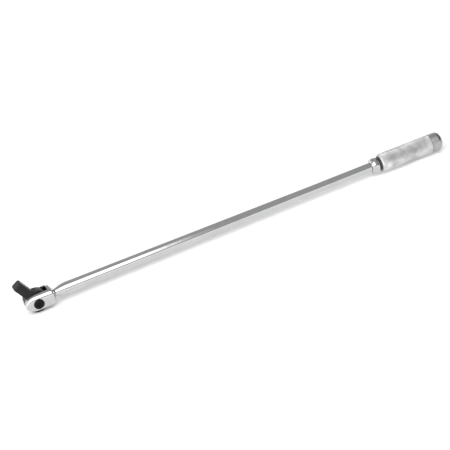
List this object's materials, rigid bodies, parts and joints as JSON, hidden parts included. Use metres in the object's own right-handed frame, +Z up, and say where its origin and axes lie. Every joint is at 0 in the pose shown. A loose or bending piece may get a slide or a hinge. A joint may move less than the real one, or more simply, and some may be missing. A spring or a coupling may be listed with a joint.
{
  "type": "breaker bar",
  "caption": "Long chromed breaker bar with a forked end, a black swinging square-drive head, a bead collar and a knurled steel grip.",
  "frame": {"origin": "middle of the underside of the whole tool's box, head swung up as drawn", "axes": "+X from the fork towards the grip, +Z up from the floor, Y along the head's pivot"},
  "size_m": [0.622, 0.0288, 0.0499],
  "materials": {
    "chrome_steel": "bright plated",
    "polished_steel": "polished",
    "satin_steel": "satin, knurled on the sleeve",
    "black_oxide": "black oxide",
    "spring_steel": "drawn wire",
    "black_rubber": "matte"
  },
  "bodies": {
    "handle": {"fork_shaft": "chrome_steel", "pivot_screw": "black_oxide", "pivot_nut": "black_oxide", "thrust_washer_near": "polished_steel", "thrust_washer_far": "polished_steel", "friction_spring": "spring_steel", "front_collar": "polished_steel", "groove_ring": "black_rubber", "knurled_grip": "satin_steel", "end_cap": "satin_steel", "end_screw": "black_oxide", "lock_washer": "polished_steel"},
    "head": {"drive_head": "black_oxide", "detent_spring": "spring_steel"},
    "detent": {"detent_ball": "polished_steel"},
    "plunger": {"friction_plunger": "polished_steel"}
  },
  "joints": [
    {"name": "head_swing", "type": "hinge", "parent": "handle", "child": "head", "pos_m": [-0.28655, 0, 0.0156], "axis": [0, 1, 0], "range_deg": [-173, 57]},
    {"name": "detent_press", "type": "slide", "parent": "head", "child": "detent", "axis": [0, -1, 0], "range_m": [0, 0.001], "stiffness_N_per_m": 800, "springref_m": -0.001, "deforming": ["detent_spring"]},
    {"name": "plunger_press", "type": "slide", "parent": "handle", "child": "plunger", "axis": [1, 0, 0], "range_m": [0, 0.0006], "stiffness_N_per_m": 3000, "springref_m": -0.001, "deforming": ["friction_spring"]}
  ]
}
